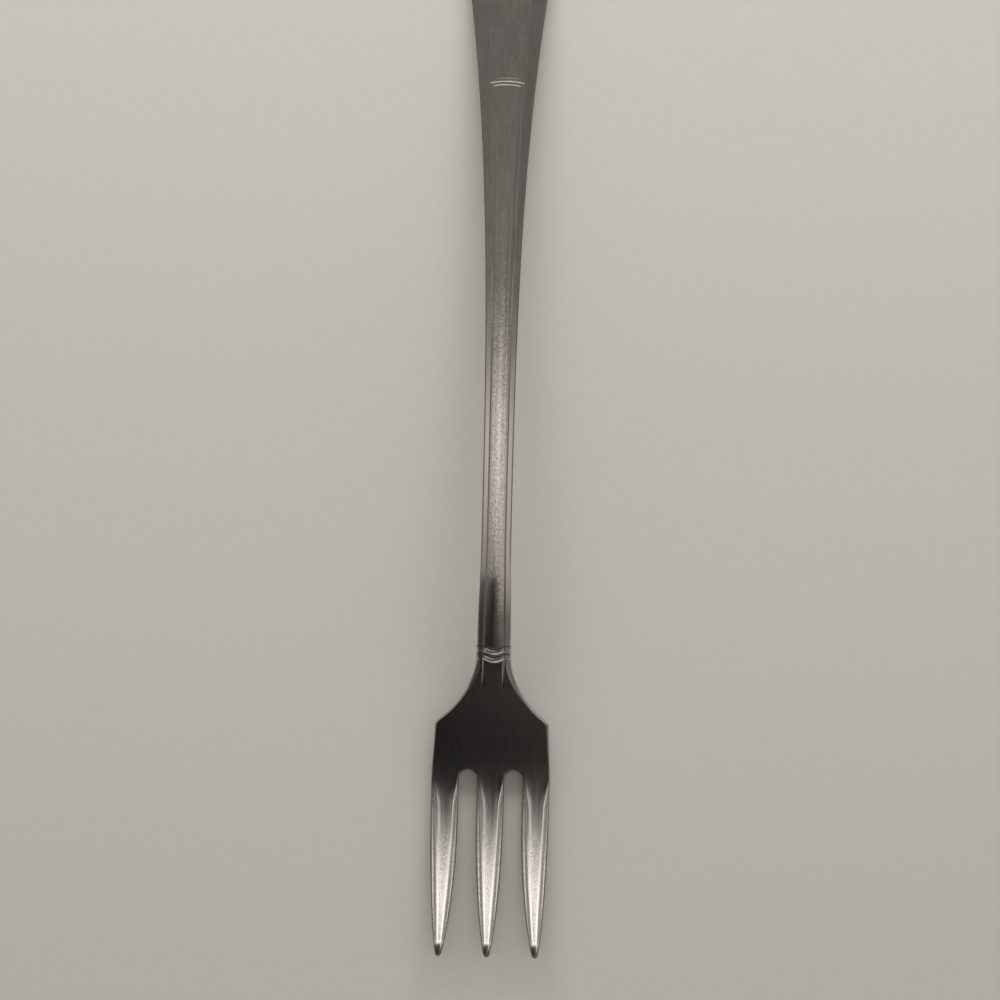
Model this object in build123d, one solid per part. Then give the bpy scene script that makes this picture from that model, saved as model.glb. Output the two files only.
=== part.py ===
from build123d import *
import os
from math import sqrt

# Oyster fork: one stamped and coined steel blank, stored as the regions that a cutler names.
# Millimetres. X runs across the fork, Y from the tine tips (-Y) to the handle end (+Y), Z up from the
# table. A station is a distance along the fork from the tine tips.

# Lengths along the fork
TINE_LENGTH = 24.3      # tip to the round end of a slot
PLATE_LENGTH = 6.4      # round end of a slot to the shoulder corner
CREST_DISTANCE = 9.6    # neck to the crest, where the shaft stands highest
WAIST_DISTANCE = 14.1   # neck to the waist, where the shaft is narrowest
SHAFT_LENGTH = 74.6     # neck to the line above the fine bands
PALM_LENGTH = 22.0      # line above the fine bands to the corners of the handle end
END_RISE = 5.0          # height of the arch that closes the handle end
BELLY_DISTANCE = 2.8    # round end of a slot to the belly, toward the tips
BEND_LENGTH = 38.0      # length behind the crest over which the handle bends down to its slope
LEVEL_LENGTH = 10.0     # length over which that slope levels out before the handle end
REST_LENGTH = 8.0       # flat land under the handle end

# Widths across the fork
TINE_WIDTH = 3.55
SLOT_WIDTH = 2.42
SHOULDER_INSET = 0.3    # how far each shoulder lies inside the outer tine's edge
NECK_WIDTH = 4.4
WAIST_WIDTH = 3.8
END_WIDTH = 13.5

# Heights of the underside above the table, and thicknesses
TIP_LIFT = 3.0
CREST_LIFT = 7.0
TIP_THICKNESS = 1.0
BELLY_THICKNESS = 1.8
CREST_THICKNESS = 2.5
END_THICKNESS = 1.8

# Curves of the outline
FLARE_RADIUS = 11.6     # concave sweep from the neck to the shoulder
SHOULDER_RADIUS = 1.0
END_CORNER_RADIUS = 2.0
EDGE_BEVEL = 0.35       # softened edges of the head and of the handle end's underside

# Tines
TAPER_LENGTH = 18.5     # length over which a tine narrows
TAPER_POWER = 0.8
TIP_WIDTH = 0.5
TIP_ROUNDING = 0.4
LAND_AT_ROOT = 0.6      # share of a tine's width that the flat land between its bevels takes
LAND_AT_TIP = 0.36
BEVEL_DEPTH = 0.33

# Coined relief of the handle: a crowned panel between two grooves, with sloping flanges outside
PANEL_SHARE = 0.56
PANEL_CROWN = 0.12
GROOVE_WIDTH = 0.3
GROOVE_DEPTH = 0.18
FLANGE_SLOPE = 0.16     # how far a flange falls for each millimetre outward
UNDER_BEVEL = 0.35
COINING_SPARE = 1.0     # how far the coined form runs past the outline that trims it
SHAFT_STEPS = 7         # spans between the sections that shape the shaft behind its waist

# Raised reeds: two across the neck, three finer ones across the panel
NECK_REED_COUNT = 2
NECK_REED_RADIUS = 0.42
NECK_REED_PITCH = 0.9
NECK_REED_BOW = 0.3
NECK_REED_SINK = 0.25   # depth of a reed's centre line under the metal's surface
BAND_COUNT = 3
BAND_RADIUS = 0.3
BAND_PITCH = 0.5
BAND_BOW = 0.35
BAND_SINK = 0.2
REED_MARGIN = 0.15      # plain metal left between a reed and the end of its region

# Stations and half widths that follow from the sizes above
HEAD_HALF = (3 * TINE_WIDTH + 2 * SLOT_WIDTH) / 2
SHOULDER_HALF = HEAD_HALF - SHOULDER_INSET
SLOT_PITCH = TINE_WIDTH + SLOT_WIDTH
FLARE_DEPTH = SHOULDER_HALF - NECK_WIDTH / 2
FLARE_LENGTH = sqrt(FLARE_RADIUS**2 - (FLARE_RADIUS - FLARE_DEPTH) ** 2)
BELLY = TINE_LENGTH - BELLY_DISTANCE
TINE_ROOT = TINE_LENGTH - SLOT_WIDTH / 2
SHOULDER = TINE_LENGTH + PLATE_LENGTH
NECK = SHOULDER + FLARE_LENGTH
NECK_REED_END = REED_MARGIN + NECK_REED_RADIUS
COLLAR_LENGTH = (NECK_REED_COUNT - 1) * NECK_REED_PITCH + NECK_REED_BOW + 2 * NECK_REED_END
COLLAR = NECK - COLLAR_LENGTH
CREST = NECK + CREST_DISTANCE
WAIST = NECK + WAIST_DISTANCE
SHAFT_END = NECK + SHAFT_LENGTH
CORNER = SHAFT_END + PALM_LENGTH
LENGTH = CORNER + END_RISE
REST = LENGTH - REST_LENGTH


# Y of a station, with the fork's middle at the origin
def at(station):
    return station - LENGTH / 2


# Cubic blend from 0 to 1 that starts and ends level
def ease(share):
    return share * share * (3 - 2 * share)


# Share of the way from crest to table, at a distance behind the crest: bending down, straight, levelling out
def descent(distance):
    run = REST - CREST
    slope = 1 / (run - (BEND_LENGTH + LEVEL_LENGTH) / 2)
    if distance < BEND_LENGTH:
        return slope * distance**2 / (2 * BEND_LENGTH)
    if distance < run - LEVEL_LENGTH:
        return slope * (distance - BEND_LENGTH / 2)
    return 1 - slope * (run - distance) ** 2 / (2 * LEVEL_LENGTH)


# Side view: a parabola along the tines, an eased rise to the crest, the handle's descent, and a flat end
def along(station, tip, belly, crest, end):
    if station < BELLY:
        return belly + (tip - belly) * (1 - station / BELLY) ** 2
    if station < CREST:
        return belly + (crest - belly) * ease((station - BELLY) / (CREST - BELLY))
    if station < REST:
        return crest + (end - crest) * descent(station - CREST)
    return end


def under(station):
    return along(station, TIP_LIFT, 0, CREST_LIFT, 0)


def over(station):
    thickness = along(station, TIP_THICKNESS, BELLY_THICKNESS, CREST_THICKNESS, END_THICKNESS)
    return under(station) + thickness


# Plan view of neck and handle: the flare's arc, an eased narrowing to the waist, then a cubic widening
def half_width(station):
    if station < NECK:
        return NECK_WIDTH / 2 + FLARE_RADIUS - sqrt(FLARE_RADIUS**2 - (NECK - station) ** 2)
    if station < WAIST:
        return (WAIST_WIDTH + (NECK_WIDTH - WAIST_WIDTH) * ease((WAIST - station) / (WAIST - NECK))) / 2
    return (WAIST_WIDTH + (END_WIDTH - WAIST_WIDTH) * ((station - WAIST) / (CORNER - WAIST)) ** 3) / 2


# Cross-section of the handle: crowned panel, V grooves, sloping flanges, bevelled flat underside.
# Spare carries the flanges past the outline on their own slope, and the sides below the table.
def handle_section(station, spare=0.0):
    y = at(station)
    half = half_width(station)
    panel = PANEL_SHARE * half
    rim = panel + GROOVE_WIDTH
    shelf = over(station) - PANEL_CROWN
    edge = shelf - FLANGE_SLOPE * (half + spare - rim)
    bottom = under(station) - spare
    right = [
        (panel, y, shelf),
        (panel + GROOVE_WIDTH / 2, y, shelf - GROOVE_DEPTH),
        (rim, y, shelf),
        (half + spare, y, edge),
        (half + spare, y, bottom + UNDER_BEVEL),
        (half + spare - UNDER_BEVEL, y, bottom),
    ]
    left = [(-x, y, z) for x, y, z in reversed(right)]
    crown = ThreePointArc(left[-1], (0, y, over(station)), right[0])
    return make_face([crown, Polyline(*right, *left)])


# A reed is a round bar bent to an arc across the fork and sunk into its surface
def reed(station, reach, drop, bow, radius, sink):
    end_height = over(station) - drop - sink
    crest_height = over(station + bow) - sink
    path = ThreePointArc(
        (-reach, at(station), end_height),
        (0, at(station) + bow, crest_height),
        (reach, at(station), end_height),
    )
    return sweep(Plane(path @ 0, z_dir=path % 0) * Circle(radius), path)


def tine_half(station):
    share = min(station / TAPER_LENGTH, 1)
    return (TIP_WIDTH + (TINE_WIDTH - TIP_WIDTH) * (1 - (1 - share) ** 2) ** TAPER_POWER) / 2


# Cross-section of a tine: a flat land between two bevels, upright sides, softened underside.
# The last bit before the tip shrinks about its centre to a rounded nose.
def tine_section(station, centre):
    y = at(station)
    nose = sqrt(1 - 0.85 * max(0, 1 - station / TIP_ROUNDING) ** 2)
    middle = (over(station) + under(station)) / 2
    rise = (over(station) - under(station)) / 2 * nose
    half = tine_half(station) * nose
    land = half * (LAND_AT_TIP + (LAND_AT_ROOT - LAND_AT_TIP) * ease(min(station / TINE_ROOT, 1)))
    bevel = min(BEVEL_DEPTH, 0.8 * rise)
    soft = min(UNDER_BEVEL, 0.4 * half)
    right = [
        (land, middle + rise),
        (half, middle + rise - bevel),
        (half, middle - rise + soft),
        (half - soft, middle - rise),
    ]
    left = [(-x, z) for x, z in reversed(right)]
    return make_face(Polyline(*[(centre + x, y, z) for x, z in right + left], close=True))


def make_tine(centre):
    body = TINE_ROOT - TIP_ROUNDING
    body_stations = [TIP_ROUNDING + body * share for share in (0, 0.1, 0.25, 0.45, 0.7, 1)]
    nose_stations = [0, TIP_ROUNDING / 2, TIP_ROUNDING]
    tine = loft([tine_section(station, centre) for station in body_stations])
    return tine + loft([tine_section(station, centre) for station in nose_stations])


# An eased slope between two stations, as a curve in the side view: level at both ends
def eased_slope(first, last, start, end):
    third = (last - first) / 3
    return Bezier(
        (0, at(first), start),
        (0, at(first + third), start),
        (0, at(last - third), end),
        (0, at(last), end),
    )


# The side view as a chain of curves, equal to the formula in along()
def side_curve(tip, belly, crest, end):
    bent = CREST + BEND_LENGTH
    levelling = REST - LEVEL_LENGTH
    bent_height = along(bent, tip, belly, crest, end)
    levelling_height = along(levelling, tip, belly, crest, end)
    return [
        Bezier((0, at(0), tip), (0, at(BELLY / 2), belly), (0, at(BELLY), belly)),
        eased_slope(BELLY, CREST, belly, crest),
        Bezier((0, at(CREST), crest), (0, at(CREST + BEND_LENGTH / 2), crest), (0, at(bent), bent_height)),
        Line((0, at(bent), bent_height), (0, at(levelling), levelling_height)),
        Bezier((0, at(levelling), levelling_height), (0, at(REST - LEVEL_LENGTH / 2), end), (0, at(REST), end)),
        Line((0, at(REST), end), (0, at(LENGTH), end)),
    ]


# Curved plate of the fork's thickness, right across its width. Headroom thickens it upward.
def make_plate(headroom=0.0):
    bottom = side_curve(*[under(station) for station in (0, BELLY, CREST, LENGTH)])
    top = side_curve(*[over(station) + headroom for station in (0, BELLY, CREST, LENGTH)])
    tip = Line(bottom[0] @ 0, top[0] @ 0)
    end = Line(bottom[-1] @ 1, top[-1] @ 1)
    reach = max(HEAD_HALF, END_WIDTH / 2) + COINING_SPARE
    side = Pos(-reach, 0, 0) * make_face([*bottom, end, *top, tip])
    return extrude(side, amount=2 * reach, dir=(1, 0, 0))


# Plan of the head: sides, shoulders and flare arcs, with a round slot end on each side of the middle tine
def head_plan():
    half = half_width(COLLAR)
    middle = (COLLAR + SHOULDER) / 2
    right = [
        Line((HEAD_HALF, at(TINE_ROOT)), (SHOULDER_HALF, at(SHOULDER))),
        ThreePointArc((SHOULDER_HALF, at(SHOULDER)), (half_width(middle), at(middle)), (half, at(COLLAR))),
    ]
    left = [mirror(edge, Plane.YZ) for edge in right]
    base = Line((-HEAD_HALF, at(TINE_ROOT)), (HEAD_HALF, at(TINE_ROOT)))
    neck = Line((-half, at(COLLAR)), (half, at(COLLAR)))
    plan = make_face([base, *right, neck, *left])
    shoulders = plan.vertices().filter_by(lambda v: abs(v.Y - at(SHOULDER)) < 1e-4)
    plan = fillet(shoulders, SHOULDER_RADIUS)
    for side in (-1, 1):
        plan -= Pos(side * SLOT_PITCH / 2, at(TINE_ROOT)) * Circle(SLOT_WIDTH / 2)
    return plan


# Edges that run round the outline. Upright edges and the seams to neighbouring regions stay sharp.
def rim_edges(shape, *seams):
    def on_rim(edge):
        size = edge.bounding_box().size
        upright = edge.geom_type == GeomType.LINE and size.Z > max(size.X, size.Y)
        seam = size.Y < 1e-4 and any(abs(edge.center().Y - at(station)) < 1e-4 for station in seams)
        return not upright and not seam

    return shape.edges().filter_by(on_rim)


def make_head():
    head = extrude(head_plan(), amount=over(CREST)) & make_plate()
    return chamfer(rim_edges(head, TINE_ROOT, COLLAR), EDGE_BEVEL)


def make_neck_collar():
    collar = loft([handle_section(COLLAR + COLLAR_LENGTH * share) for share in (0, 0.5, 1)])
    for count in range(NECK_REED_COUNT):
        station = NECK - NECK_REED_END - count * NECK_REED_PITCH
        reach = half_width(station) - REED_MARGIN
        flange = (1 - PANEL_SHARE) * half_width(station) - GROOVE_WIDTH
        drop = PANEL_CROWN + FLANGE_SLOPE * flange
        collar += reed(station, reach, drop, -NECK_REED_BOW, NECK_REED_RADIUS, NECK_REED_SINK)
    return collar


def make_handle_shaft():
    step = (SHAFT_END - WAIST) / SHAFT_STEPS
    stations = [NECK, (NECK + CREST) / 2, CREST] + [WAIST + step * count for count in range(SHAFT_STEPS + 1)]
    shaft = loft([handle_section(station) for station in stations])
    for count in range(BAND_COUNT):
        station = SHAFT_END - REED_MARGIN - BAND_RADIUS - BAND_BOW - count * BAND_PITCH
        reach = PANEL_SHARE * half_width(station) + GROOVE_WIDTH / 2
        shaft += reed(station, reach, PANEL_CROWN, BAND_BOW, BAND_RADIUS, BAND_SINK)
    return shaft


# Plan of the handle end: the two widening sides, closed by an arch with rounded corners
def end_plan():
    half = END_WIDTH / 2
    stations = [SHAFT_END + PALM_LENGTH * share for share in (0, 0.35, 0.7, 1)]
    right = Spline(*[(half_width(station), at(station)) for station in stations])
    arch = ThreePointArc((half, at(CORNER)), (0, at(LENGTH)), (-half, at(CORNER)))
    base = Line((-half_width(SHAFT_END), at(SHAFT_END)), (half_width(SHAFT_END), at(SHAFT_END)))
    plan = make_face([base, right, arch, mirror(right, Plane.YZ)])
    corners = plan.vertices().filter_by(lambda v: abs(v.Y - at(CORNER)) < 1e-4)
    return fillet(corners, END_CORNER_RADIUS)


# The coined form trimmed by the plan and by the plate's underside, whose last stretch is flat
def make_handle_end():
    levelling = REST - LEVEL_LENGTH
    bends = [SHAFT_END, (SHAFT_END + levelling) / 2, levelling, REST - LEVEL_LENGTH / 2, REST]
    stations = bends + [(REST + LENGTH) / 2, LENGTH]
    coined = loft([handle_section(station, spare=COINING_SPARE) for station in stations])
    end = extrude(end_plan(), amount=over(CREST)) & make_plate(headroom=COINING_SPARE) & coined
    underside = end.faces().filter_by(lambda face: face.normal_at().Z < -0.9)
    return chamfer(rim_edges(underside, SHAFT_END, levelling, REST), EDGE_BEVEL)


nodes = {
    "left_tine": make_tine(-SLOT_PITCH),
    "middle_tine": make_tine(0),
    "right_tine": make_tine(SLOT_PITCH),
    "head": make_head(),
    "neck_collar": make_neck_collar(),
    "handle_shaft": make_handle_shaft(),
    "handle_end": make_handle_end(),
}
os.makedirs("parts", exist_ok=True)
for name, shape in nodes.items():
    export_step(shape, f"parts/{name}.step")
    print(name, round(shape.volume, 2), shape.is_valid, len(shape.solids()))
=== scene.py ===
import math
import bpy
import numpy as np
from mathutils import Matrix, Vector


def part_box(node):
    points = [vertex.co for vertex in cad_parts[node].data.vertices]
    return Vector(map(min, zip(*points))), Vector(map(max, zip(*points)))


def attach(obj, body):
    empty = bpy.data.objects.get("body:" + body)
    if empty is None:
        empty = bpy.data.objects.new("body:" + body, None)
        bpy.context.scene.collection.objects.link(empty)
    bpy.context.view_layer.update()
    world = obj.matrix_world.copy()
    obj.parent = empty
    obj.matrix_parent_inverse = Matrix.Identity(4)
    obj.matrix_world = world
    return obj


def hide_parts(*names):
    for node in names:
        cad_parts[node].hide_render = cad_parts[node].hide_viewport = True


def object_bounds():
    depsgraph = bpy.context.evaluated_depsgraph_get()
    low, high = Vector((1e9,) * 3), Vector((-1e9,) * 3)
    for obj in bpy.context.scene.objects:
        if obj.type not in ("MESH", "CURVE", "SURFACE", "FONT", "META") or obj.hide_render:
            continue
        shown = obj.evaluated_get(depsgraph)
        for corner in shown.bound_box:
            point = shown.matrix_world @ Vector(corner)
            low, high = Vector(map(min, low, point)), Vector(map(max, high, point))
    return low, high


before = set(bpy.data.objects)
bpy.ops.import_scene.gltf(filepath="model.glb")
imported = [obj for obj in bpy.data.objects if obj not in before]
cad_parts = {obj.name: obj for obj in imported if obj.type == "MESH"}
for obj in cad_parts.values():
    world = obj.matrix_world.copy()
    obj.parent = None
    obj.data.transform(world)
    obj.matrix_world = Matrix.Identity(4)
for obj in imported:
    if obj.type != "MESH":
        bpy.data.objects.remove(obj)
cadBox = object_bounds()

mm = 0.001
tipY = cadBox[0].y / mm  # the tine tips, from which every station along the fork is counted
print("frame loaded, length in mm:", round((cadBox[1].y - cadBox[0].y) / mm, 2))


# A region's lowest and highest corner in millimetres, with y as a station
def region(node):
    low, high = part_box(node)
    shift = np.array((0, tipY, 0))
    return np.array(low) / mm - shift, np.array(high) / mm - shift


tineLow, tineHigh = region("middle_tine")
outerLow, outerHigh = region("right_tine")
collarLow, collarHigh = region("neck_collar")
headHigh = region("head")[1]
shaftHigh = region("handle_shaft")[1]
endHigh = region("handle_end")[1]
farAway = 99.0  # millimetres, past every edge of the fork

# Outline and side view of the fork in millimetres; regions that the frame knows come from it
forkForm = {
    "neckWidth": 4.4,
    "waistWidth": 3.8,
    "endWidth": 13.5,
    "shoulderInset": 0.3,
    "shoulderBlend": 0.8,
    "flareRadius": 11.6,
    "waistDistance": 14.1,
    "crestDistance": 9.6,
    "bendLength": 38.0,
    "levelLength": 10.0,
    "bellyDistance": 2.8,
    "restLength": 8.0,
    "endRise": 5.0,
    "endBlend": 0.3,
    "tipLift": 3.0,
    "tipThickness": 1.0,
    "bellyThickness": 1.8,
    "crestThickness": 2.5,
    "endThickness": 1.8,
    "taperLength": 18.5,
    "taperPower": 0.8,
    "tipWidth": 0.58,
    "tipRounding": 0.4,
    "tineSplay": 0.35,
    "splayLength": 16.0,
    "tineCurve": 2.0,
}

length = endHigh[1]
tineRoot = tineHigh[1]
tineHalf = (tineHigh[0] - tineLow[0]) / 2
tinePitch = (outerLow[0] + outerHigh[0]) / 2
slotRadius = tinePitch / 2 - tineHalf
slotEnd = tineRoot + slotRadius
slotCentre = tinePitch / 2
headHalf = headHigh[0]
shoulderHalf = headHalf - forkForm["shoulderInset"]
neckHalf = forkForm["neckWidth"] / 2
waistHalf = forkForm["waistWidth"] / 2
endHalf = forkForm["endWidth"] / 2
collarAt = collarLow[1]
neckAt = collarHigh[1]
waistAt = neckAt + forkForm["waistDistance"]
crestAt = neckAt + forkForm["crestDistance"]
restAt = length - forkForm["restLength"]
cornerAt = length - forkForm["endRise"]
bellyAt = slotEnd - forkForm["bellyDistance"]
flareRadius = forkForm["flareRadius"]
shoulderAt = neckAt - math.sqrt(flareRadius**2 - (flareRadius - shoulderHalf + neckHalf) ** 2)
archRadius = (forkForm["endRise"] ** 2 + endHalf**2) / (2 * forkForm["endRise"])
archAt = length - archRadius
crestLift = shaftHigh[2] - forkForm["crestThickness"]


# Eases from 0 to 1: t squared times (3 minus 2t)
def ease(t):
    t = np.clip(t, 0, 1)
    return t * t * (3 - 2 * t)


# How far the handle has come down, from 0 at the crest to 1 on the table: a parabola that bends into a
# straight slope, and a shorter one that levels out again
def descent(s):
    run = restAt - crestAt
    bend, level = forkForm["bendLength"], forkForm["levelLength"]
    slope = 1 / (run - (bend + level) / 2)
    t = np.clip(s - crestAt, 0, run)
    bent = slope * t * t / (2 * bend)
    straight = slope * (t - bend / 2)
    levelled = 1 - slope * (run - t) ** 2 / (2 * level)
    return np.select([t < bend, t < run - level], [bent, straight], levelled)


# A height along the fork: a power curve from tip to belly, eased up to the crest, then the handle's descent
def alongFork(s, tip, belly, crest, end):
    tinePart = belly + (tip - belly) * np.clip(1 - s / bellyAt, 0, 1) ** forkForm["tineCurve"]
    neckPart = belly + (crest - belly) * ease((s - bellyAt) / (crestAt - bellyAt))
    handlePart = crest + (end - crest) * descent(s)
    return np.select([s < bellyAt, s < crestAt], [tinePart, neckPart], handlePart)


# Height of the underside: lifted at the tips and the crest, on the table at the belly and the handle end
def underSide(s):
    return alongFork(s, forkForm["tipLift"], 0, crestLift, 0)


# Thickness of the metal: the same curve through its four values
def thickness(s):
    return alongFork(s, *[forkForm[place + "Thickness"] for place in ("tip", "belly", "crest", "end")])


# Half width of a tine: an ogive that grows from the tip's width to the full width, closed by a round nose
def tineHalfAt(s):
    t = np.clip(s / forkForm["taperLength"], 0, 1)
    grown = (1 - (1 - t) ** 2) ** forkForm["taperPower"]
    half = forkForm["tipWidth"] / 2 + (tineHalf - forkForm["tipWidth"] / 2) * grown
    nose = np.clip(1 - s / forkForm["tipRounding"], 0, 1)
    return half * np.sqrt(1 - nose**2)


# Where an outer tine's middle runs: beside the middle tine, bending outward with the square toward the tip
def outerTineAt(s):
    return tinePitch + forkForm["tineSplay"] * np.clip(1 - s / forkForm["splayLength"], 0, 1) ** 2


# The smaller of two widths, with the corner where they cross rounded off over a blend width
def roundedMin(a, b, blend):
    near = np.clip(1 - np.abs(a - b) / blend, 0, 1)
    return np.minimum(a, b) - blend * near**2 / 4


# Half width of neck and handle: flare arc, eased down to the waist, then growing with the distance cubed
def handleHalf(s):
    back = np.clip(neckAt - s, 0, flareRadius)
    flare = flareRadius - np.sqrt(flareRadius**2 - back**2)
    neck = waistHalf + (neckHalf - waistHalf) * ease((waistAt - s) / (waistAt - neckAt))
    growth = np.clip((s - waistAt) / (cornerAt - waistAt), 0, None) ** 3
    return flare + neck + (endHalf - waistHalf) * growth


# Half width of the whole outline: tines, plate with rounded shoulders, then the handle with its arched end
def outlineHalf(s):
    plate = headHalf - forkForm["shoulderInset"] * (s - tineRoot) / (shoulderAt - tineRoot)
    body = roundedMin(np.where(s < neckAt, plate, farAway), handleHalf(s), forkForm["shoulderBlend"])
    arch = np.sqrt(np.clip(archRadius**2 - np.clip(s - archAt, 0, None) ** 2, 0, None))
    body = np.where(s > archAt, roundedMin(body, arch, forkForm["endBlend"]), body)
    return np.where(s < tineRoot, outerTineAt(s) + tineHalfAt(s), np.clip(body, 0, None))


# Coined relief of the upper face in millimetres; a share is a part of the width or the metal that it lies on
reliefForm = {
    "panelShare": 0.56,
    "panelCrown": 0.12,
    "crownGrowth": 6.0,  # length above the collar over which the crown rises
    "grooveWidth": 0.2,
    "grooveDepth": 0.06,
    "grooveShallow": 0.006,
    "grooveRun": 22.0,  # length past the waist at full depth, and as much again to run shallow
    "flangeSlope": 0.16,
    "ribShare": 0.3,
    "ribHalf": 0.18,
    "ribDepth": 0.02,
    "ribGrowth": 20.0,
    "lineFade": 3.0,  # length below the collar over which the grooves run out
    "flareBevel": 0.18,
    "flareBevelWidth": 0.75,
    "leastHalf": 0.0001,
    "landAtRoot": 0.58,
    "landAtTip": 0.1,
    "landOpening": 4.0,  # distance before the tine's root at which the land widens to the whole tine
    "landOpeningLength": 5.0,
    "landDip": 0.045,
    "dipGrowth": 5.0,
    "tineLine": 0.1,
    "linePlace": 0.54,  # place and half width of the tine's fine line, as shares of the bevel
    "lineHalf": 0.19,
    "lineGrowth": 4.0,
    "bevelDepth": 0.25,
    "bevelFade": 4.0,
    "leastBevel": 0.05,
    "ridgeSoftness": 0.85,
    "noseLength": 2.2,
    "noseShare": 0.9,
    "tipDroop": 0.3,
    "droopLength": 2.1,
    "deepest": 0.62,  # most of the metal that the relief and the lower rim may take
    "deepestUnder": 0.3,
    "leastMetal": 0.05,
    "tineRim": 0.12,
    "slotRim": 0.07,
    "headRim": 0.28,
    "handleRim": 0.09,
    "underRim": 0.35,
}

# Low reeds across the fork: station of the first one and step to the next, bow of each, half width, heights
# and spans of each, what is left of the height on the flanges, and the fine line sunk on the handle side
reedForm = {
    "neck": {
        "first": 40.42, "step": -1.04, "bow": -0.4, "half": 0.36,
        "heights": (0.09, 0.098), "spans": (2.0, 2.0), "onFlange": 0.3,
        "lineAway": 0.44, "lineHalf": 0.15, "lineDepth": 0.015,
    },
    "band": {
        "first": 114.55, "step": -0.45, "bow": 0.25, "half": 0.15,
        "heights": (0.01, 0.017, 0.016), "spans": (0.75, 1.1, 0.92), "onFlange": 1.0,
        "lineAway": 0.2, "lineHalf": 0.08, "lineDepth": 0.0,
    },
}
reedFade = {"flange": 0.2, "end": 0.35}  # widths over which a reed drops to a flange and runs out at its ends


# Where the strand border runs above the slots: eased from the slot centre to the handle's groove
def strandBorder(s):
    groove = reliefForm["panelShare"] * handleHalf(np.maximum(s, collarAt)) + reliefForm["grooveWidth"] / 2
    fromSlot = ease((s - slotEnd) / (collarAt - slotEnd))
    return np.minimum(slotCentre + (groove - slotCentre) * fromSlot, outlineHalf(s))


# Rows from one station to another, evenly spaced, or bunched like the cosine toward the start or the end
def rowRun(start, stop, count, bunch):
    t = np.linspace(0, 1, count)
    t = {"even": t, "start": 1 - np.cos(t * np.pi / 2), "end": np.sin(t * np.pi / 2)}[bunch]
    return start + (stop - start) * t


# Stretches of rows: where each one ends, how many rows it has and how they bunch. They lie close where the
# form turns fast
rowForm = {
    "tip": 3.0,
    "pastSlot": 0.8,
    "roundShoulder": 0.7,
    "pastNeck": 1.0,
    "bandsFrom": 112.8,
    "bandsTo": 115.0,
    "beforeCorner": 1.0,
    "pastCorner": 0.6,
}
stretches = (
    (forkForm["tipRounding"], 9, "start"),
    (rowForm["tip"], 18, "even"),
    (tineRoot, 52, "even"),
    (slotEnd, 17, "end"),
    (slotEnd + rowForm["pastSlot"], 9, "even"),
    (shoulderAt - rowForm["roundShoulder"], 14, "even"),
    (shoulderAt + rowForm["roundShoulder"], 25, "even"),
    (collarAt, 44, "even"),
    (neckAt + rowForm["pastNeck"], 76, "even"),
    (rowForm["bandsFrom"], 110, "even"),
    (rowForm["bandsTo"], 60, "even"),
    (cornerAt - rowForm["beforeCorner"], 40, "even"),
    (cornerAt + rowForm["pastCorner"], 12, "even"),
    (length, 24, "end"),
)
starts = [0] + [stretch[0] for stretch in stretches[:-1]]
rows = np.concatenate([rowRun(start, *stretch) for start, stretch in zip(starts, stretches)])
rows = np.unique(np.round(rows, 6))
strandColumns = 27

# The plan: three strands side by side. A column's share runs from border to border, bunched like the cosine
share = (1 - np.cos(np.linspace(0, np.pi, strandColumns))) / 2
outer = outlineHalf(rows)
gap = np.sqrt(np.clip(slotRadius**2 - np.clip(rows - tineRoot, 0, None) ** 2, 0, None))
border = strandBorder(rows)
onTines = rows < tineRoot
onSlots = rows < slotEnd
innerEdge = np.select([onTines, onSlots], [outerTineAt(rows) - tineHalfAt(rows), slotCentre + gap], border)
middleEdge = np.select([onTines, onSlots], [tineHalfAt(rows), slotCentre - gap], border)


# One strand of the plan: points on straight rows between its two borders
def strand(low, high):
    x = low[:, None] + (high - low)[:, None] * share
    return np.stack([x, np.broadcast_to(rows[:, None], x.shape)], axis=-1)


strands = np.stack([strand(-outer, -innerEdge), strand(-middleEdge, middleEdge), strand(innerEdge, outer)])
flat = np.round(strands.reshape(-1, 2), 5)
plan, index = np.unique(flat, axis=0, return_inverse=True)
index = index.reshape(strands.shape[:3])
corners = [index[:, :-1, :-1], index[:, :-1, 1:], index[:, 1:, 1:], index[:, 1:, :-1]]
quads = np.stack(corners, axis=-1).reshape(-1, 4)
noFirst = quads[:, 0] == quads[:, 1]
noLast = quads[:, 2] == quads[:, 3]
triangles = np.concatenate([quads[noFirst][:, [0, 2, 3]], quads[noLast & ~noFirst][:, :3]])
quads = quads[~noFirst & ~noLast]
triangles = triangles[(triangles[:, 0] != triangles[:, 1]) & (triangles[:, 1] != triangles[:, 2])]
triangles = triangles[triangles[:, 0] != triangles[:, 2]]
print("fork plan:", len(rows), "rows,", len(plan), "points")

x, s = plan.T
side = np.abs(x)


# How far inside the outline a point lies: the gap across, times the cosine of the outline's slope, and the
# true distance to the arched end, to the slot ends and to a tine's two edges
def insideDistance(s, side):
    step = 0.01
    slope = (outlineHalf(s + step) - outlineHalf(s - step)) / (2 * step)
    across = (outlineHalf(s) - side) / np.sqrt(1 + slope**2)
    toArch = np.where(s > archAt, archRadius - np.hypot(side, s - archAt), farAway)
    toSlot = np.hypot(side - slotCentre, s - tineRoot) - slotRadius
    centre = np.where(side < slotCentre, 0, outerTineAt(s))
    tineSlope = (tineHalfAt(s + step) - tineHalfAt(np.clip(s - step, 0, None))) / (2 * step)
    toTine = (tineHalfAt(s) - np.abs(side - centre)) / np.sqrt(1 + tineSlope**2)
    body = np.minimum(np.minimum(across, toArch), toSlot)
    return np.clip(np.where(s < tineRoot, toTine, body), 0, None)


# A quarter round: how far the surface falls at a distance from its edge
def quarterRound(distance, radius):
    rest = np.clip(radius - distance, 0, radius)
    return radius - np.sqrt(radius**2 - rest**2)


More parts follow.
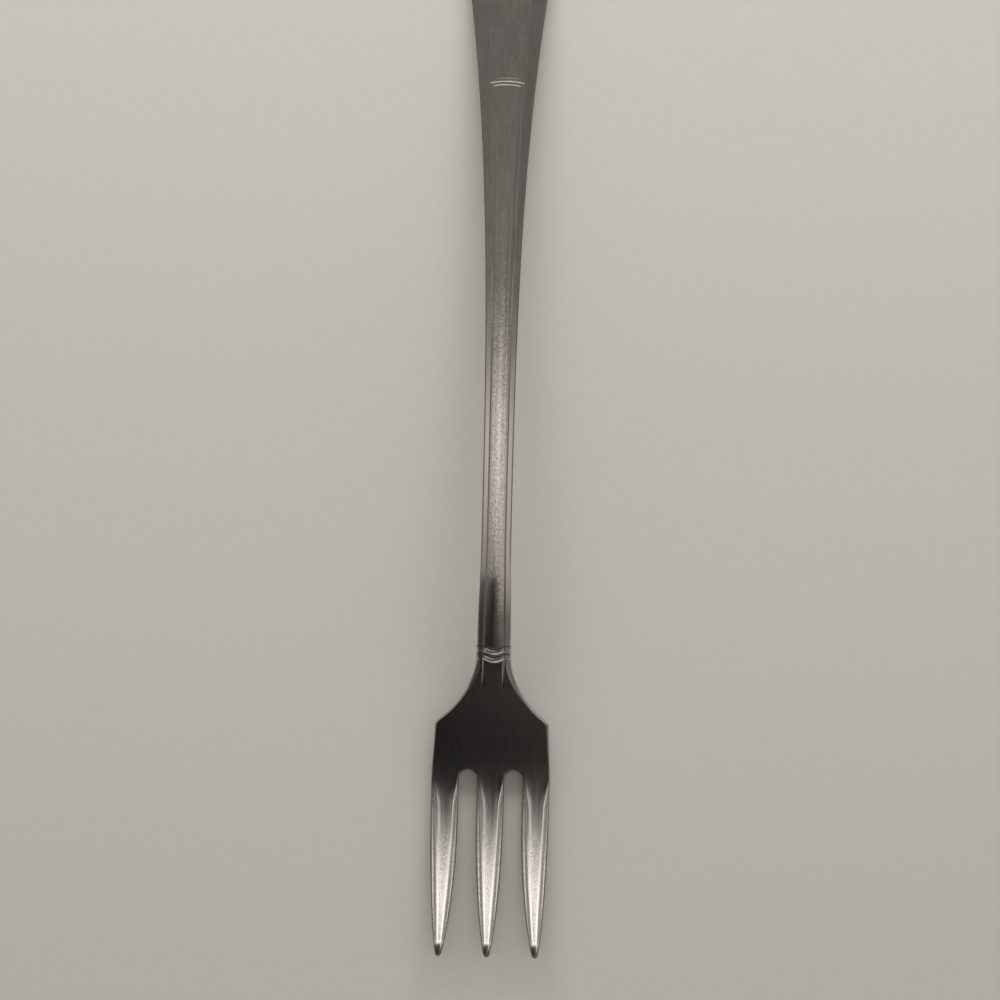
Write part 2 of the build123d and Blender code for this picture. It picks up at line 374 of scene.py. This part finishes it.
# A hinge with a soft start: a parabola at first, then a straight slope
def softHinge(t, soft):
    t = np.clip(t, 0, None)
    return np.where(t < soft, t * t / (2 * soft), t - soft / 2)


# Low reeds: squared cosines on lines that bow across the panel, each with a fine sunk line beside it
def reedHeight(s, side, reach, form):
    rise = np.zeros_like(s)
    sunk = np.zeros_like(s)
    onPanel = form["onFlange"] + (1 - form["onFlange"]) * ease((reach - side) / reedFade["flange"] + 0.5)
    for number, (height, span) in enumerate(zip(form["heights"], form["spans"])):
        window = ease((span * reach - side) / reedFade["end"])
        line = form["first"] + number * form["step"] + form["bow"] * (1 - np.clip(side / reach, 0, 1) ** 2)
        near = np.clip(1 - np.abs(s - line) / form["half"], 0, 1)
        sunkNear = np.clip(1 - np.abs(s - line - form["lineAway"]) / form["lineHalf"], 0, 1)
        rise = np.maximum(rise, height * np.sin(near * np.pi / 2) ** 2 * window * onPanel)
        sunk = np.maximum(sunk, sunkNear * window)
    return rise - form["lineDepth"] * sunk, sunk


edge = insideDistance(s, side)
handleShape = handleHalf(np.maximum(s, neckAt))
panel = reliefForm["panelShare"] * handleShape
grooveAt = panel + reliefForm["grooveWidth"] / 2
rim = panel + reliefForm["grooveWidth"]
onHandle = ease((s - collarAt) / (neckAt - collarAt))
lineMask = ease((s - collarAt + reliefForm["lineFade"]) / reliefForm["lineFade"])

# Handle face: crowned panel, cosine grooves, flanges that slope straight down to the edge
crownHeight = reliefForm["panelCrown"] * ease((s - collarAt) / reliefForm["crownGrowth"])
crown = crownHeight * np.clip(side / panel, 0, 1) ** 2
flange = reliefForm["flangeSlope"] * np.clip(side - rim, 0, None)
inGroove = np.clip(1 - np.abs(side - grooveAt) / (reliefForm["grooveWidth"] / 2), 0, 1)
grooveMask = np.sin(inGroove * np.pi / 2) ** 2 * lineMask
ribAt = reliefForm["ribShare"] * handleShape
ribMask = np.clip(1 - np.abs(side - ribAt) / reliefForm["ribHalf"], 0, 1)
ribMask = ribMask * ease((s - waistAt) / reliefForm["ribGrowth"])
grooveFade = ease((s - waistAt) / reliefForm["grooveRun"] - 1)
grooveLoss = (reliefForm["grooveDepth"] - reliefForm["grooveShallow"]) * grooveFade
grooveDeep = reliefForm["grooveDepth"] - grooveLoss
handleDrop = crown + flange * onHandle + grooveDeep * grooveMask + reliefForm["ribDepth"] * ribMask

# Tine face: a land that dips between two soft ridges and narrows toward the tip, a fine line outside each
# ridge, and bevels that start at the slot ends and slope to the edges
tineCentre = np.where(side < slotCentre, 0, outerTineAt(s))
tineAcross = np.abs(side - tineCentre) / np.maximum(tineHalfAt(s), reliefForm["leastHalf"])
landGrowth = reliefForm["landAtRoot"] - reliefForm["landAtTip"]
landShare = reliefForm["landAtTip"] + landGrowth * np.clip(s / tineRoot, 0, 1)
landStart = tineRoot - reliefForm["landOpening"]
landShare = landShare + (1 - landShare) * ease((s - landStart) / reliefForm["landOpeningLength"])
bevelRun = (tineAcross - landShare) / np.maximum(1 - landShare, reliefForm["leastBevel"])
onTine = ease((slotEnd - s) / reliefForm["bevelFade"])
landDip = reliefForm["landDip"] * (1 - np.clip(tineAcross / landShare, 0, 1) ** 4)
landDip = landDip * ease(s / reliefForm["dipGrowth"])
tineLine = np.clip(1 - np.abs(bevelRun - reliefForm["linePlace"]) / reliefForm["lineHalf"], 0, 1)
tineLine = tineLine * onTine * ease(s / reliefForm["lineGrowth"])
bevelDeep = reliefForm["bevelDepth"] * tineHalfAt(s) / tineHalf
tineDrop = bevelDeep * softHinge(bevelRun, reliefForm["ridgeSoftness"]) + landDip
tineDrop = tineDrop * onTine + reliefForm["tineLine"] * np.sin(tineLine * np.pi / 2) ** 2

# The flanges run on along the flare as a bevel that narrows toward the shoulders
toShoulder = np.clip((collarAt - s) / (collarAt - shoulderAt), 0, 1)
flareWidth = reliefForm["flareBevelWidth"] * (1 - ease(toShoulder)) * (1 - onHandle)
flareDrop = np.where(s > shoulderAt, reliefForm["flareBevel"] * np.clip(flareWidth - edge, 0, None), 0)

neckReeds, neckSunk = reedHeight(s, side, panel, reedForm["neck"])
bands = reedHeight(s, side, grooveAt, reedForm["band"])[0]

# Radius of the upper rim along the fork: fine on tines and slots, fuller on the head, fine on the handle
rimChange = {"beforeSlot": 6.0, "roundSlot": 1.0, "pastNeck": 8.0}
rimRun = (
    (0, "tineRim"),
    (tineRoot - rimChange["beforeSlot"], "tineRim"),
    (tineRoot - rimChange["roundSlot"], "slotRim"),
    (slotEnd + rimChange["roundSlot"], "slotRim"),
    (shoulderAt, "headRim"),
    (neckAt, "headRim"),
    (neckAt + rimChange["pastNeck"], "handleRim"),
    (length, "handleRim"),
)
rimRadius = np.interp(s, [at for at, name in rimRun], [reliefForm[name] for at, name in rimRun])

# Upper and lower height: half the metal either side of its middle, less the relief and the rims
nose = np.clip(1 - s / reliefForm["noseLength"], 0, 1)
metal = thickness(s) * np.sqrt(1 - reliefForm["noseShare"] * nose**2)
middle = underSide(s) + thickness(s) / 2
tipDrop = reliefForm["tipDroop"] * np.clip(1 - s / reliefForm["droopLength"], 0, 1) ** 2
drop = quarterRound(edge, rimRadius) + tineDrop + handleDrop + flareDrop + tipDrop
drop = np.minimum(drop, reliefForm["deepest"] * metal)
underDrop = np.minimum(quarterRound(edge, reliefForm["underRim"]), reliefForm["deepestUnder"] * metal)
bottom = middle - metal / 2 + underDrop
top = np.maximum(middle + metal / 2 - drop + neckReeds + bands, bottom + reliefForm["leastMetal"])

# Upper and lower face from the same plan, joined by a wall along every edge that one face alone uses
upper = np.stack([x, s + tipY, top], axis=-1)
lower = np.stack([x, s + tipY, bottom], axis=-1)
points = np.concatenate([upper, lower]) * mm
sides = np.concatenate([quads[:, [i, (i + 1) % 4]] for i in range(4)]
                       + [triangles[:, [i, (i + 1) % 3]] for i in range(3)])
edgeKey = np.sort(sides, axis=1)
edgeKey = edgeKey[:, 0] * len(plan) + edgeKey[:, 1]
first, uses = np.unique(edgeKey, return_index=True, return_counts=True)[1:]
rimEdges = sides[first[uses == 1]]
below = len(plan)
wall = np.stack([rimEdges[:, 0] + below, rimEdges[:, 1] + below, rimEdges[:, 1], rimEdges[:, 0]], axis=-1)
faces = quads.tolist() + triangles.tolist() + (quads[:, ::-1] + below).tolist()
faces += (triangles[:, ::-1] + below).tolist() + wall.tolist()

# How the finish changes over the fork: painted shade on edges, flanges and tips, grime and painted shade in
# sunk lines, where the grain shows, and where the metal is brighter: the tines, with painted highlights on
# their ridges and the handle's centre
maskForm = {
    "paintedEdgeShade": 1.0,
    "edgeWidth": 0.3,
    "plateFade": 2.0,
    "waistFade": 8.0,
    "collarFade": 1.5,
    "grooveGrimeAndShade": 0.72,
    "grooveFull": 1.3,
    "grooveSpread": 0.6,
    "paintedFlangeShade": 0.22,
    "endFade": 0.9,
    "tineGrimeAndShade": 0.8,
    "paintedTipShade": 0.7,
    "tipLength": 1.3,
    "flangeGrain": 0.15,
    "panelFade": 0.2,
    "endSmooth": 0.7,
    "tineGrain": 0.75,
    "grainGrowth": 7.0,
    "ridgeSmooth": 0.8,
    "ridgePlace": 0.2,
    "ridgeWidth": 0.2,
    "ridgeHighlight": 0.36,
    "centreHighlight": 0.3,
    "centreWidth": 0.16,
    "underGrain": 0.3,
    "underWear": 0.2,
}

forkMesh = bpy.data.meshes.new("oysterFork")
forkMesh.from_pydata(points.tolist(), [], faces)
forkMesh.polygons.foreach_set("use_smooth", np.ones(len(forkMesh.polygons), dtype=bool))

# Masks that the finish follows: sunk lines that hold grime and painted shade, painted shade on edges, flanges
# and tips, the grainier panel and tine lands, and the brighter metal of the tines, with painted highlights on
# the ridges and along the handle's centre
# Painted shade: the metal is darkened within a band along its edges, except on the flare
edgeAway = edge / maskForm["edgeWidth"]
onFlare = ease((s - slotEnd) / maskForm["plateFade"]) * ease((waistAt - s) / maskForm["waistFade"])
paintedEdgeShade = maskForm["paintedEdgeShade"] * ease(1 - edgeAway) * (1 - onFlare)
aboveCollar = ease((s - collarAt) / maskForm["collarFade"])
# Painted shade: the flanges are darkened a little; in and beside the grooves the darkening is grime and
# painted shade, less toward the handle end
onFlange = np.clip((side - panel) / reliefForm["grooveWidth"], 0, 1) * aboveCollar
fromGroove = np.abs(side - grooveAt) / (maskForm["grooveSpread"] * reliefForm["grooveWidth"])
grooveGrimeAndShade = maskForm["grooveGrimeAndShade"] * np.clip(maskForm["grooveFull"] - fromGroove, 0, 1) * aboveCollar
handleGrimeAndShade = np.maximum(grooveGrimeAndShade, maskForm["paintedFlangeShade"] * onFlange)
handleGrimeAndShade = handleGrimeAndShade * (1 - maskForm["endFade"] * grooveFade)
# Grime and painted shade in the fine sunk lines of the neck and the tines
sunkLines = handleGrimeAndShade + neckSunk + maskForm["tineGrimeAndShade"] * tineLine
# Painted shade: the tine tips are darkened
paintedTipShade = maskForm["paintedTipShade"] * ease(1 - s / maskForm["tipLength"])
# All of these darken the base colour as grime and painted shade
grimeAndShade = np.clip(np.maximum(np.maximum(sunkLines, paintedEdgeShade), paintedTipShade), 0, 1)
onPanel = np.clip((panel - side) / maskForm["panelFade"], 0, 1)
panelGrain = maskForm["flangeGrain"] + (1 - maskForm["flangeGrain"]) * onPanel
handleGrain = onHandle * panelGrain * (1 - maskForm["endSmooth"] * grooveFade)
ridge = np.exp(-(((bevelRun - maskForm["ridgePlace"]) / maskForm["ridgeWidth"]) ** 2)) * onTine
tineGrain = maskForm["tineGrain"] * ease((bellyAt - s) / maskForm["grainGrowth"])
tineGrain = tineGrain * (1 - maskForm["ridgeSmooth"] * ridge)
grainy = np.clip(handleGrain + tineGrain, 0, 1)
# Painted highlight: the metal is brightened along the centre of the handle
paintedCentreHighlight = maskForm["centreHighlight"] * np.exp(-((side / maskForm["centreWidth"]) ** 2))
paintedCentreHighlight = paintedCentreHighlight * onHandle * (1 - grooveFade)
# The tines are brighter, brightest along each ridge as a painted highlight
tineBrightWithRidgeHighlight = (1 - maskForm["ridgeHighlight"] * (1 - ridge)) * onTine
wearAndHighlight = np.clip(np.maximum(tineBrightWithRidgeHighlight, paintedCentreHighlight), 0, 1)
# Attributes for the masks of grime and painted shade, of grain, and of wear and painted highlights
for name, upperMask, lowerMask in (
    ("grimeAndShade", grimeAndShade, np.zeros_like(grimeAndShade)),
    ("grainy", grainy, np.full_like(grainy, maskForm["underGrain"])),
    ("wearAndHighlight", wearAndHighlight, np.full_like(wearAndHighlight, maskForm["underWear"])),
):
    layer = forkMesh.attributes.new(name, "FLOAT", "POINT")
    layer.data.foreach_set("value", np.concatenate([upperMask, lowerMask]).astype(np.float32))
forkMesh.update()
oysterFork = bpy.data.objects.new("oysterFork", forkMesh)
bpy.context.scene.collection.objects.link(oysterFork)
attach(oysterFork, "root")
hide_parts("left_tine", "middle_tine", "right_tine", "head", "neck_collar", "handle_shaft",
            "handle_end")
triangleCount = 4 * len(quads) + 2 * len(triangles) + 2 * len(wall)
print("fork mesh:", len(points), "points,", triangleCount, "triangles")


# Adds a node, sets its properties and the values of its named inputs
def addNode(tree, kind, inputs=None, **settings):
    node = tree.nodes.new(kind)
    for key, value in settings.items():
        setattr(node, key, value)
    for key, value in (inputs or {}).items():
        node.inputs[key].default_value = value
    return node


# Worn stainless steel: base colour from wear and painted highlights, lengthwise stains, speckle, grime and
# painted shade, roughness from stains and grain, bump from grain and hairlines
steelFinish = {
    # Bright colour for wear and painted highlights
    "bright": (0.92, 0.9, 0.87, 1),
    "dull": (0.58, 0.548, 0.51, 1),
    "tarnish": (0.42, 0.395, 0.368, 1),
    # Dark colour for grime and painted shade
    "darkGrimeAndShade": (0.05, 0.042, 0.036, 1),
    "grimeAndShadeShare": 0.85,
    "wearInStains": 0.72,
    "patchSpan": (0.35, 0.6),
    "speckle": 0.46,
    "speckSpan": (0.36, 0.6),
    "stainScale": (2600, 50, 2600),
    "grainScale": (7400, 3800, 7400),
    "hairlineScale": (16000, 260, 16000),
    "smooth": 0.12,
    "stainRough": 0.06,
    "grainRough": 0.05,
    "grimeAndShadeRough": 0.2,
    "grainBump": 0.35,
    "smoothShare": 0.06,
    "hairlineBump": 0.12,
    "bumpDistance": 0.000025,
}


def wornSteelWithPaintedLight(finish):
    material = bpy.data.materials.new("wornSteelWithPaintedLight")
    material.use_nodes = True
    tree = material.node_tree
    tree.nodes.clear()
    link = tree.links.new
    output = addNode(tree, "ShaderNodeOutputMaterial")
    shader = addNode(tree, "ShaderNodeBsdfPrincipled", {"Metallic": 1.0})
    link(shader.outputs["BSDF"], output.inputs["Surface"])
    place = addNode(tree, "ShaderNodeTexCoord")
    grimeAndShadeMask = addNode(tree, "ShaderNodeAttribute", attribute_name="grimeAndShade")
    grainyMask = addNode(tree, "ShaderNodeAttribute", attribute_name="grainy")
    wearAndHighlightMask = addNode(tree, "ShaderNodeAttribute", attribute_name="wearAndHighlight")

    stainStretch = addNode(tree, "ShaderNodeMapping", {"Scale": finish["stainScale"]})
    stain = addNode(tree, "ShaderNodeTexNoise", {"Scale": 1.0, "Detail": 4.0, "Roughness": 0.6})
    grainStretch = addNode(tree, "ShaderNodeMapping", {"Scale": finish["grainScale"]})
    grain = addNode(tree, "ShaderNodeTexNoise", {"Scale": 1.0, "Detail": 2.0, "Roughness": 0.6})
    hairStretch = addNode(tree, "ShaderNodeMapping", {"Scale": finish["hairlineScale"]})
    hairline = addNode(tree, "ShaderNodeTexNoise", {"Scale": 1.0, "Detail": 3.0, "Roughness": 0.6})
    for stretch, noise in ((stainStretch, stain), (grainStretch, grain), (hairStretch, hairline)):
        link(place.outputs["Object"], stretch.inputs["Vector"])
        link(stretch.outputs["Vector"], noise.inputs["Vector"])

    # Colour: dull and tarnished steel mixed by the stains, bright where worn and where highlights are
    # painted, speckled, darkened by grime and painted shade
    tarnished = addNode(tree, "ShaderNodeMix", {6: finish["tarnish"], 7: finish["dull"]}, data_type="RGBA")
    link(stain.outputs["Fac"], tarnished.inputs["Factor"])
    # Brightened toward the bright colour by wear and by painted highlights
    brightened = addNode(tree, "ShaderNodeMix", {7: finish["bright"]}, data_type="RGBA")
    patchy = addNode(tree, "ShaderNodeMapRange", {
        "From Min": finish["patchSpan"][0],
        "From Max": finish["patchSpan"][1],
        "To Min": finish["wearInStains"],
    })
    link(stain.outputs["Fac"], patchy.inputs["Value"])
    brightShare = addNode(tree, "ShaderNodeMath", operation="MULTIPLY")
    link(wearAndHighlightMask.outputs["Fac"], brightShare.inputs[0])
    link(patchy.outputs["Result"], brightShare.inputs[1])
    link(brightShare.outputs["Value"], brightened.inputs["Factor"])
    link(tarnished.outputs[2], brightened.inputs[6])
    speckLevel = addNode(tree, "ShaderNodeMapRange", {
        "From Min": finish["speckSpan"][0],
        "From Max": finish["speckSpan"][1],
    })
    link(grain.outputs["Fac"], speckLevel.inputs["Value"])
    speckDark = addNode(tree, "ShaderNodeMapRange", {"To Min": 1.0, "To Max": 1 - finish["speckle"]})
    link(grainyMask.outputs["Fac"], speckDark.inputs["Value"])
    speck = addNode(tree, "ShaderNodeMapRange", {"To Max": 1.0})
    link(speckLevel.outputs["Result"], speck.inputs["Value"])
    link(speckDark.outputs["Result"], speck.inputs["To Min"])
    stained = addNode(tree, "ShaderNodeMix", {"Factor": 1.0}, data_type="RGBA", blend_type="MULTIPLY")
    link(brightened.outputs[2], stained.inputs[6])
    link(speck.outputs["Result"], stained.inputs[7])
    # Darkened toward the dark colour by grime and painted shade
    grimeAndShadeAmount = addNode(tree, "ShaderNodeMath", {1: finish["grimeAndShadeShare"]}, operation="MULTIPLY")
    link(grimeAndShadeMask.outputs["Fac"], grimeAndShadeAmount.inputs[0])
    grimeAndShadeMix = addNode(tree, "ShaderNodeMix", {7: finish["darkGrimeAndShade"]}, data_type="RGBA")
    link(grimeAndShadeAmount.outputs["Value"], grimeAndShadeMix.inputs["Factor"])
    link(stained.outputs[2], grimeAndShadeMix.inputs[6])
    link(grimeAndShadeMix.outputs[2], shader.inputs["Base Color"])

    # Roughness: a smooth base, plus a share each from the stains, the grainy metal, and the grime and painted
    # shade
    level = None
    for mask, amount in ((stain, "stainRough"), (grainyMask, "grainRough"), (grimeAndShadeMask, "grimeAndShadeRough")):
        amounts = {1: finish[amount], 2: finish["smooth"]}
        rougher = addNode(tree, "ShaderNodeMath", amounts, operation="MULTIPLY_ADD")
        link(mask.outputs["Fac"], rougher.inputs[0])
        if level is not None:
            link(level.outputs["Value"], rougher.inputs[2])
        level = rougher
    link(level.outputs["Value"], shader.inputs["Roughness"])

    # Bump: grain, strong only where the metal is grainy, and hairlines along the fork everywhere
    grainLevel = addNode(tree, "ShaderNodeMapRange", {
        "To Min": finish["smoothShare"] * finish["grainBump"],
        "To Max": finish["grainBump"],
    })
    link(grainyMask.outputs["Fac"], grainLevel.inputs["Value"])
    grainHeight = addNode(tree, "ShaderNodeMath", operation="MULTIPLY")
    link(grain.outputs["Fac"], grainHeight.inputs[0])
    link(grainLevel.outputs["Result"], grainHeight.inputs[1])
    height = addNode(tree, "ShaderNodeMath", {1: finish["hairlineBump"]}, operation="MULTIPLY_ADD")
    link(hairline.outputs["Fac"], height.inputs[0])
    link(grainHeight.outputs["Value"], height.inputs[2])
    bump = addNode(tree, "ShaderNodeBump", {"Strength": 1.0, "Distance": finish["bumpDistance"]})
    link(height.outputs["Value"], bump.inputs["Height"])
    link(bump.outputs["Normal"], shader.inputs["Normal"])
    return material


forkMesh.materials.append(wornSteelWithPaintedLight(steelFinish))
print("steel finish ready")

# Floor: a wide pale table top with a faint mottle
floorForm = {
    "half": 3.0,
    "drop": 0.00005,
    "pale": (0.72, 0.708, 0.672, 1),
    "grey": (0.67, 0.658, 0.622, 1),
    "mottle": 900.0,
    "rough": 0.85,
    "shine": 0.2,
}
reach = floorForm["half"]
floorMesh = bpy.data.meshes.new("tableTop")
floorCorners = np.array([(-reach, -reach), (reach, -reach), (reach, reach), (-reach, reach)])
floorPoints = np.column_stack([floorCorners, np.full(4, -floorForm["drop"])])
floorMesh.from_pydata(floorPoints.tolist(), [], [(0, 1, 2, 3)])
tableTop = bpy.data.objects.new("tableTop", floorMesh)
bpy.context.scene.collection.objects.link(tableTop)
paleTop = bpy.data.materials.new("paleTop")
paleTop.use_nodes = True
topTree = paleTop.node_tree
topShader = topTree.nodes["Principled BSDF"]
topShader.inputs["Roughness"].default_value = floorForm["rough"]
topShader.inputs["Specular IOR Level"].default_value = floorForm["shine"]
topPlace = addNode(topTree, "ShaderNodeTexCoord")
mottleForm = {"Scale": floorForm["mottle"], "Detail": 4.0, "Roughness": 0.6}
topMottle = addNode(topTree, "ShaderNodeTexNoise", mottleForm)
topColour = addNode(topTree, "ShaderNodeMix", {6: floorForm["grey"], 7: floorForm["pale"]}, data_type="RGBA")
topTree.links.new(topPlace.outputs["Object"], topMottle.inputs["Vector"])
topTree.links.new(topMottle.outputs["Fac"], topColour.inputs["Factor"])
topTree.links.new(topColour.outputs[2], topShader.inputs["Base Color"])
floorMesh.materials.append(paleTop)

# Light: a soft box behind the handle end and a weaker one on either side, all above the edge of the table
lightForm = {
    "backBox": {"place": (0.0, 0.4, 0.22), "size": (0.5, 0.2), "power": 1.75, "colour": (1.0, 0.98, 0.95)},
    "rightBox": {"place": (0.5, 0.25, 0.33), "size": (0.5, 0.6), "power": 0.5, "colour": (1.0, 0.97, 0.93)},
    "leftBox": {"place": (-0.5, 0.25, 0.33), "size": (0.5, 0.6), "power": 0.4, "colour": (1.0, 0.98, 0.95)},
}
lightAim = (0, -0.01, 0.005)  # near the middle of the fork


# A soft box: an area lamp turned so that it faces the aim
def softBox(name, form):
    lamp = bpy.data.lights.new(name, "AREA")
    lamp.shape = "RECTANGLE"
    lamp.size, lamp.size_y = form["size"]
    lamp.energy = form["power"]
    lamp.color = form["colour"]
    box = bpy.data.objects.new(name, lamp)
    box.location = form["place"]
    away = box.location - Vector(lightAim)
    box.rotation_euler = away.to_track_quat("Z", "Y").to_euler()
    bpy.context.scene.collection.objects.link(box)


for name, form in lightForm.items():
    softBox(name, form)

# Room: brightness by the angle from overhead in degrees. A soft pale band crosses the fork overhead, dark on
# the tine side and grey on the handle side. A pale wall stands on either side, the brighter one on the right,
# and the room is lighter near the table
roomForm = {
    "band": (
        (-90, 0.5), (-68, 0.4), (-56, 0.03), (-50, 0.01), (-14, 0.014), (-5, 0.02), (-2, 0.1), (0.5, 0.75),
        (3, 1.15), (6.5, 1.35), (9, 2.2), (11, 1.2), (13, 0.72), (16, 0.44), (20, 0.25), (26, 0.2),
        (50, 0.16), (90, 0.3),
    ),
    "bandReach": (
        (-90, 0.15), (-40, 0.2), (-28, 0.38), (-18, 0.9), (-8, 1.0), (8, 1.0), (18, 0.62), (28, 0.32),
        (40, 0.25), (90, 0.15),
    ),
    "walls": (
        (-90, 0.6), (-75, 0.7), (-60, 0.7), (-46, 0.45), (-34, 0.24), (-16, 0.15), (-8, 0.0), (2, 0.0),
        (4.5, 0.14), (7, 0.36), (11, 0.6), (18, 0.78), (26, 0.66), (36, 0.32), (46, 0.45), (60, 0.7),
        (75, 0.7), (90, 0.6),
    ),
    "wallReach": (
        (-90, 1.1), (-66, 1.0), (-54, 0.6), (-45, 0.36), (-30, 0.4), (-22, 0.72), (-11, 1.0), (0, 0.8),
        (7, 0.2), (15, 0.03), (90, 0.03),
    ),
    "tint": (1.0, 0.96, 0.91, 1),
    "backdrop": (0.7, 0.69, 0.66, 1),
}
room = bpy.data.worlds.new("room")
bpy.context.scene.world = room
room.use_nodes = True
roomTree = room.node_tree
roomTree.nodes.clear()
roomLink = roomTree.links.new
roomOut = addNode(roomTree, "ShaderNodeOutputWorld")
roomShine = addNode(roomTree, "ShaderNodeBackground")
roomBack = addNode(roomTree, "ShaderNodeBackground", {"Color": roomForm["backdrop"]})
roomMix = addNode(roomTree, "ShaderNodeMixShader")
rayKind = addNode(roomTree, "ShaderNodeLightPath")
roomPlace = addNode(roomTree, "ShaderNodeTexCoord")
roomSplit = addNode(roomTree, "ShaderNodeSeparateXYZ")
roomLink(roomPlace.outputs["Generated"], roomSplit.inputs["Vector"])


# Brightness as a ramp over the angle from overhead toward one axis
def roomRamp(axis, stops):
    angle = addNode(roomTree, "ShaderNodeMath", operation="ARCTAN2")
    angleShare = addNode(roomTree, "ShaderNodeMapRange", {"From Min": -math.pi / 2, "From Max": math.pi / 2})
    rampNode = addNode(roomTree, "ShaderNodeValToRGB")
    ramp = rampNode.color_ramp
    ramp.interpolation = "EASE"
    while len(ramp.elements) < len(stops):
        ramp.elements.new(0.5)
    for stop, (degrees, level) in zip(ramp.elements, stops):
        stop.position = (degrees + 90) / 180
        stop.color = (level, level, level, 1)
    roomLink(roomSplit.outputs[axis], angle.inputs[0])
    roomLink(roomSplit.outputs["Z"], angle.inputs[1])
    roomLink(angle.outputs["Value"], angleShare.inputs["Value"])
    roomLink(angleShare.outputs["Result"], rampNode.inputs["Fac"])
    return rampNode.outputs["Color"]


# Two colours joined by a mix node of the given kind
def roomJoin(blend, first, second):
    joined = addNode(roomTree, "ShaderNodeMix", {"Factor": 1.0}, data_type="RGBA", blend_type=blend)
    roomLink(first, joined.inputs[6])
    roomLink(second, joined.inputs[7])
    return joined.outputs[2]


roomBand = roomJoin("MULTIPLY", roomRamp("Y", roomForm["band"]), roomRamp("X", roomForm["bandReach"]))
roomWalls = roomJoin("MULTIPLY", roomRamp("X", roomForm["walls"]), roomRamp("Y", roomForm["wallReach"]))
roomTint = addNode(roomTree, "ShaderNodeRGB")
roomTint.outputs["Color"].default_value = roomForm["tint"]
roomLight = roomJoin("ADD", roomBand, roomWalls)
roomLink(roomJoin("MULTIPLY", roomLight, roomTint.outputs["Color"]), roomShine.inputs["Color"])
roomLink(rayKind.outputs["Is Camera Ray"], roomMix.inputs["Fac"])
roomLink(roomShine.outputs["Background"], roomMix.inputs[1])
roomLink(roomBack.outputs["Background"], roomMix.inputs[2])
roomLink(roomMix.outputs["Shader"], roomOut.inputs["Surface"])
print("table, lamps and room ready")

# Camera: straight above, turned a little so that the handle leans as in the photograph
cameraForm = {
    "height": 0.33,
    "across": 0.131,  # width in view, at this height above the table:
    "atHeight": 0.002,
    "centre": (0.00034, -0.0113),
    "turn": 1.4,
    "sensor": 36,
    "nearest": 0.01,
}
cameraData = bpy.data.cameras.new("overhead")
cameraData.sensor_width = cameraForm["sensor"]
distance = cameraForm["height"] - cameraForm["atHeight"]
cameraData.lens = cameraForm["sensor"] * distance / cameraForm["across"]
cameraData.clip_start = cameraForm["nearest"]
camera = bpy.data.objects.new("overhead", cameraData)
camera.location = (*cameraForm["centre"], cameraForm["height"])
camera.rotation_euler = (0, 0, math.radians(cameraForm["turn"]))
bpy.context.scene.collection.objects.link(camera)
bpy.context.scene.camera = camera
bpy.context.scene.view_settings.view_transform = "Standard"
